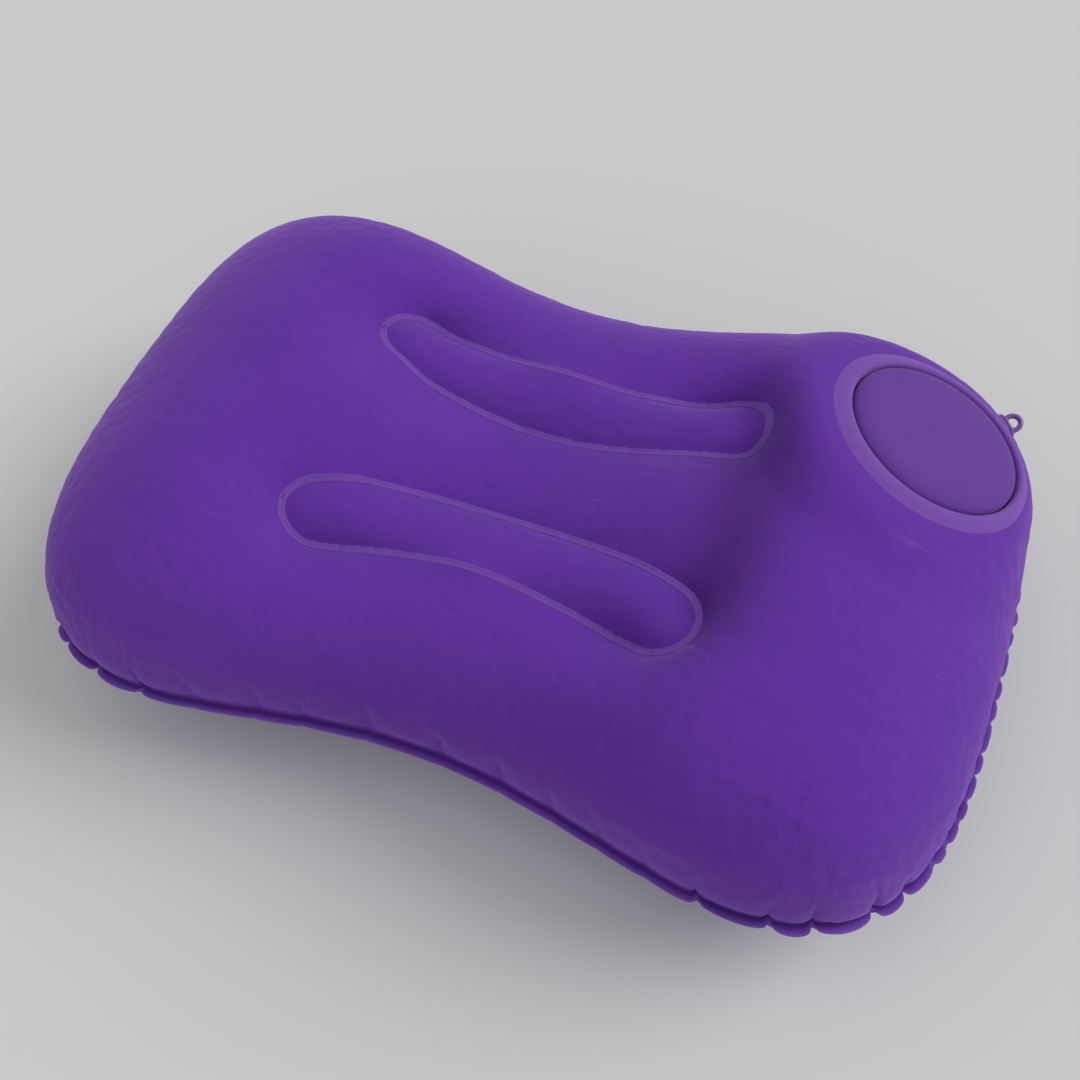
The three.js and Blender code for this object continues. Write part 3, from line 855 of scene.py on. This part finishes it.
FLOCK = flock("purple_flock", srgb(86, 37, 145), srgb(100, 47, 162), sheen=0.42)
PUMP_FLOCK = flock("pump_flock", srgb(90, 50, 138), srgb(100, 58, 150), grain_mm=0.3, sheen=0.3)
WELD_FLOCK = flock("pressed_weld", srgb(96, 58, 146), srgb(112, 74, 164), grain_mm=0.3, sheen=0.55)
COLLAR_FLOCK = flock("collar_flock", srgb(106, 68, 156), srgb(122, 82, 172), grain_mm=0.3, sheen=0.4)
SHEET_PVC = plastic("inner_sheet", srgb(84, 50, 128), 0.5)
VALVE_PVC = plastic("valve_pvc", srgb(116, 76, 160), 0.35, coat=0.3)
CLEAR_PVC = plastic("valve_film", srgb(150, 128, 186), 0.25)
FOAM = foam_material()


def dress(obj, material):
    """Gives a piece its only material."""
    obj.data.materials.clear()
    obj.data.materials.append(material)


# ---- The pieces ----

def make_skin():
    """The upper and lower sheet with their halves of the seam. Returns the upper one."""
    top = sheet_with_flange("top_skin", TOP_CELLS, top_height, True, in_pump)
    thicken(top)
    dress(top, FLOCK)
    bottom = sheet_with_flange("bottom_skin", BOTTOM_CELLS, bottom_height, False)
    thicken(bottom)
    dress(bottom, FLOCK)
    for piece, node in ((top, "top_panel"), (bottom, "bottom_panel")):
        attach(piece, "pillow")
        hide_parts(node)
    return top


def upright_frame(centre, normal):
    """A frame in millimetres with Z along a normal and X level with the middle of the pillow."""
    z = Vector(normal)
    y = z.cross(Vector((1, 0, 0))).normalized()
    x = y.cross(z)
    turn = Matrix((x, y, z)).transposed().to_4x4()
    return Matrix.Translation(Vector(centre)) @ turn


def pump_matrix():
    """The pump's own frame: Z is the way the cover comes up."""
    return upright_frame(PUMP_CENTRE, PUMP_NORMAL)


def turned_points(profile, steps):
    """Points of a profile of (radius, height) turned about Z, ring by ring."""
    angle = np.linspace(0, 2 * np.pi, steps, endpoint=False)
    rings = []
    for radius, height in profile:
        rings.append(np.stack([radius * np.cos(angle), radius * np.sin(angle), np.full(steps, height)], 1))
    return np.array(rings)


def ring_faces(rings, steps, closed):
    """Faces between rings of points. A closed set joins its last ring to its first."""
    faces = []
    last = rings if closed else rings - 1
    for k in range(last):
        low, high = k * steps, ((k + 1) % rings) * steps
        for i in range(steps):
            n = (i + 1) % steps
            faces.append((low + i, low + n, high + n, high + i))
    return faces


def into_world(points, matrix):
    """Points of an upright_frame, in the part's own millimetres."""
    rotation = np.array(matrix.to_3x3())
    return points @ rotation.T + np.array(matrix.translation)


def make_collar(skin):
    """The soft raised ring round the pump. Its outer slope lies down on the skin."""
    steps = 240
    inner = [(COLLAR_INNER, -3.0), (COLLAR_INNER, 0.2), (COLLAR_INNER + 0.25, 1.4), (COLLAR_INNER + 0.9, 2.3)]
    shares = np.linspace(0.1, 1, 12)
    crown = [(COLLAR_INNER + 0.9 + t * (COLLAR_OUTER - COLLAR_INNER - 0.9),
              2.5 * (0.5 + 0.5 * math.cos(math.pi * t ** 1.3)) - 0.45 * t) for t in shares]
    profile = inner + crown + [(COLLAR_OUTER - 0.2, -3.0)]
    rings = turned_points(profile, steps)
    matrix = pump_matrix()
    tree = BVHTree.FromObject(skin, bpy.context.evaluated_depsgraph_get())
    centre, normal = Vector(PUMP_CENTRE) * MM, Vector(PUMP_NORMAL)
    for i in range(steps):
        edge = into_world(rings[-2][i][None], matrix)[0]
        start = Vector(edge) * MM + normal * 0.02
        hit = tree.ray_cast(start, -normal, 0.05)[0]
        lift = 0.0 if hit is None else float((hit - centre).dot(normal)) / MM
        for ring in rings:
            share = smooth_step(COLLAR_INNER + 1.5, COLLAR_OUTER, math.hypot(ring[i][0], ring[i][1]))
            ring[i][2] += share * lift
    points = into_world(rings.reshape(-1, 3), matrix)
    collar = make_mesh("collar_ring", points, ring_faces(len(profile), steps, True))
    dress(collar, COLLAR_FLOCK)
    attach(collar, "pillow")
    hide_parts("pump_collar")


def make_cover():
    """The flocked disc that the palm presses: a low dome with a rolled edge."""
    steps = 200
    edge = 29.0
    top = [(r, 4.7 - 0.5 * (r / edge) ** 2) for r in np.linspace(1.5, edge, 14)]
    roll = [(edge + (COVER_RADIUS - edge) * math.sin(a), -0.6 + 4.8 * math.cos(a) ** 0.8)
            for a in np.linspace(0.12, 1.5, 14)]
    under = [(COVER_RADIUS, -1.4), (COVER_RADIUS - 1.2, -1.5), (COVER_RADIUS - 1.3, 1.5), (2.0, 1.6)]
    rings = turned_points(top + roll + under, steps)
    count = rings.shape[0]
    faces = [face[::-1] for face in ring_faces(count, steps, False)]
    flat = rings.reshape(-1, 3)
    flat = np.concatenate([flat, [[0, 0, 4.6], [0, 0, 1.6]]])
    centre_top, centre_low = count * steps, count * steps + 1
    for i in range(steps):
        n = (i + 1) % steps
        faces.append((centre_top, i, n))
        low = (count - 1) * steps
        faces.append((centre_low, low + n, low + i))
    cover = make_mesh("cover_disc", into_world(flat, pump_matrix()), faces)
    dress(cover, PUMP_FLOCK)
    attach(cover, "pump_cover")
    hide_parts("pump_cover")


def make_loop_welds():
    """The pressed weld strip of each loop: a pale band between two fine ridges."""
    count = 480
    section = ((-1.75, -0.15), (-1.45, 0.22), (-1.1, 0.32), (-0.6, 0.12), (0.0, 0.04),
               (0.6, 0.12), (1.1, 0.32), (1.45, 0.22), (1.75, -0.15), (0.0, -0.5))
    for label, line in LOOPS.items():
        step = np.hypot(*(np.roll(line, -1, axis=0) - line).T)
        length = np.concatenate([[0], np.cumsum(step)])
        closed = np.concatenate([line, line[:1]])
        run = np.linspace(0, length[-1], count, endpoint=False)
        x = np.interp(run, length, closed[:, 0])
        y = np.interp(run, length, closed[:, 1])
        dx = np.roll(x, -1) - np.roll(x, 1)
        dy = np.roll(y, -1) - np.roll(y, 1)
        size = np.hypot(dx, dy)
        across = np.stack([dy / size, -dx / size], 1)
        z = top_height_in_plan(x, y)
        half = WELD_WIDTH / 2
        left = top_height_in_plan(x - half * across[:, 0], y - half * across[:, 1])
        right = top_height_in_plan(x + half * across[:, 0], y + half * across[:, 1])
        tilt = np.clip((right - left) / WELD_WIDTH, -1, 1)
        middle = np.maximum(z, (left + right) / 2)
        rings = np.zeros((len(section), count, 3))
        for k, (wide, tall) in enumerate(section):
            rings[k, :, :2] = np.stack([x, y], 1) + across * wide
            rings[k, :, 2] = middle + tilt * wide + tall
        weld = make_mesh(f"{label}_loop_weld", rings.reshape(-1, 3), ring_faces(len(section), count, True))
        dress(weld, WELD_FLOCK)
        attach(weld, "pillow")


def make_baffle_walls():
    """The walls inside that hold the looped welds down, from the bottom sheet up to the welds."""
    wall, clear = 0.4, 2.4
    for label, line in LOOPS.items():
        step = np.roll(line, -1, axis=0) - np.roll(line, 1, axis=0)
        across = np.stack([step[:, 1], -step[:, 0]], 1) / np.hypot(*step.T)[:, None]
        top = top_height_in_plan(line[:, 0], line[:, 1]) - 0.75
        rings = np.zeros((4, len(line), 3))
        for k, (side, height) in enumerate(((-wall, clear), (wall, clear), (wall, top), (-wall, top))):
            rings[k, :, :2] = line + side * across
            rings[k, :, 2] = height
        piece = make_mesh(f"{label}_baffle_wall", rings.reshape(-1, 3), ring_faces(4, len(line), True))
        dress(piece, SHEET_PVC)
        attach(piece, "pillow")
        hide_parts(f"{label}_baffle")


def capped(rings, steps):
    """Points and faces of a turned solid, closed at both ends with a fan. Its first ring is the lowest."""
    count = rings.shape[0]
    faces = ring_faces(count, steps, False)
    ends = [[0, 0, rings[0, 0, 2]], [0, 0, rings[-1, 0, 2]]]
    points = np.concatenate([rings.reshape(-1, 3), ends])
    low, high = count * steps, count * steps + 1
    for i in range(steps):
        n = (i + 1) % steps
        faces.append((low, n, i))
        faces.append((high, (count - 1) * steps + i, (count - 1) * steps + n))
    return points, faces


def make_foam():
    """The round block of open-cell foam that fills the pump and lifts its cover again."""
    steps = 160
    rng = np.random.default_rng(SEED)
    heights = np.linspace(FOAM_LOW, FOAM_HIGH, 40)
    profile = []
    for height in heights:
        from_end = min(height - FOAM_LOW, FOAM_HIGH - height)
        profile.append((FOAM_RADIUS - 0.25 - 1.2 * max(0.0, 1 - from_end / 1.6) ** 2, height))
    rings = turned_points(profile, steps)
    rings[1:-1, :, :2] *= 1 - rng.uniform(0, 0.008, (len(profile) - 2, steps, 1))
    points, faces = capped(rings, steps)
    foam = make_mesh("foam_block", into_world(points, pump_matrix()), faces)
    dress(foam, FOAM)
    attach(foam, "pillow")
    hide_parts("pump_foam")
    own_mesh(foam)


def make_plug():
    """The valve's plug: a stem, a rounded head, and a soft oval pull loop that leans out of it."""
    steps = 64
    profile = [(PLUG_STEM - 1.0, -7), (PLUG_STEM - 0.2, -6.4), (PLUG_STEM, -5.6), (PLUG_STEM, PLUG_HEAD_LOW)]
    profile += [(PLUG_HEAD - 0.5, PLUG_HEAD_LOW), (PLUG_HEAD, PLUG_HEAD_LOW + 0.5)]
    for turn in np.linspace(0, math.pi / 2, 6):
        radius = PLUG_HEAD - PLUG_ROUNDING + PLUG_ROUNDING * math.cos(turn)
        profile.append((radius, PLUG_HEAD_HIGH - PLUG_ROUNDING + PLUG_ROUNDING * math.sin(turn)))
    matrix = upright_frame(VALVE_CENTRE, VALVE_NORMAL)
    points, faces = capped(turned_points(profile, steps), steps)
    head = make_mesh("plug_head", into_world(points, matrix), faces)
    around, section = 72, 16
    rings = np.zeros((section, around, 3))
    turn = np.linspace(0, 2 * np.pi, around, endpoint=False)
    half_wide, half_high = PULL_LOOP_HALF_WIDTH, PULL_LOOP_HALF_HEIGHT
    middle = PLUG_HEAD_HIGH + 2.5
    centre_line = np.stack([half_wide * np.cos(turn), 0 * turn, middle + half_high * np.sin(turn)], 1)
    outward = np.stack([half_high * np.cos(turn), 0 * turn, half_wide * np.sin(turn)], 1)
    outward /= np.linalg.norm(outward, axis=1, keepdims=True)
    cord = PULL_LOOP_CORD + 0.35 * smooth_step(0.2, -0.9, np.sin(turn))
    for k in range(section):
        angle = 2 * math.pi * k / section
        rings[k] = centre_line + outward * (cord * math.cos(angle))[:, None]
        rings[k, :, 1] += 1.25 * cord * math.sin(angle)
    points = into_world(rings.reshape(-1, 3), matrix)
    loop = make_mesh("plug_pull_loop", points, ring_faces(section, around, True))
    for piece in (head, loop):
        dress(piece, VALVE_PVC)
        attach(piece, "valve_plug")
        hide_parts("valve_plug")


def make_tether():
    """The flat strap from the plug's head down to the skin, on the side away from the pump."""
    matrix = upright_frame(VALVE_CENTRE, VALVE_NORMAL)
    away = matrix.to_3x3().transposed() @ Vector(VALVE_CENTRE - PUMP_CENTRE)
    turned = matrix @ Matrix.Rotation(math.atan2(away.y, away.x), 4, "Z")
    route = interpolate_bezier(Vector((6.3, 0, 2.3)), Vector((8.4, 0, 2.9)),
                               Vector((9.7, 0, 2.3)), Vector((10.5, 0, 0.4)), 28)
    turns = np.linspace(0, 2 * math.pi, 20, endpoint=False)
    section = [(STRAP_HALF_WIDTH * math.cos(a), STRAP_HALF_THICKNESS * math.sin(a)) for a in turns]
    rings = np.zeros((len(route), len(section), 3))
    for k, here in enumerate(route):
        along = (route[min(k + 1, len(route) - 1)] - route[max(k - 1, 0)]).normalized()
        face = Vector((-along.z, 0, along.x))
        for i, (wide, tall) in enumerate(section):
            rings[k, i] = here + Vector((0, wide, 0)) + tall * face
    count, steps = rings.shape[:2]
    faces = ring_faces(count, steps, False)
    faces += [tuple(range(steps))[::-1], tuple(range((count - 1) * steps, count * steps))]
    tether = make_mesh("plug_tether", into_world(rings.reshape(-1, 3), turned), faces)
    dress(tether, VALVE_PVC)
    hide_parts("valve_tether")
    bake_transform(tether)


def dress_cad_nodes():
    """Materials for the nodes that keep their CAD form."""
    looks = {
        "pump_cup": SHEET_PVC,
        "intake_seat": CLEAR_PVC,
        "intake_flap": CLEAR_PVC,
        "outlet_seat": CLEAR_PVC,
        "outlet_flap": CLEAR_PVC,
        "valve_body": VALVE_PVC,
    }
    for node, material in looks.items():
        obj = frame["nodes"][node]
        obj.data.materials.clear()
        obj.data.materials.append(material)


def make_floor():
    """A wide pale floor, a hair below the pillow."""
    size, drop = 4000.0, 0.3
    corners = [(-size, -size, -drop), (size, -size, -drop), (size, size, -drop), (-size, size, -drop)]
    floor = make_mesh("floor", corners, [(0, 1, 2, 3)], smooth=False)
    material, nodes, _ = new_material("pale_floor")
    nodes["Principled BSDF"].inputs["Base Color"].default_value = (0.62, 0.62, 0.62, 1)
    nodes["Principled BSDF"].inputs["Roughness"].default_value = 0.9
    floor.data.materials.append(material)


make_camera()
make_light()
make_floor()
top_skin = make_skin()
make_collar(top_skin)
make_cover()
make_loop_welds()
make_baffle_walls()
make_foam()
make_plug()
make_tether()
dress_cad_nodes()
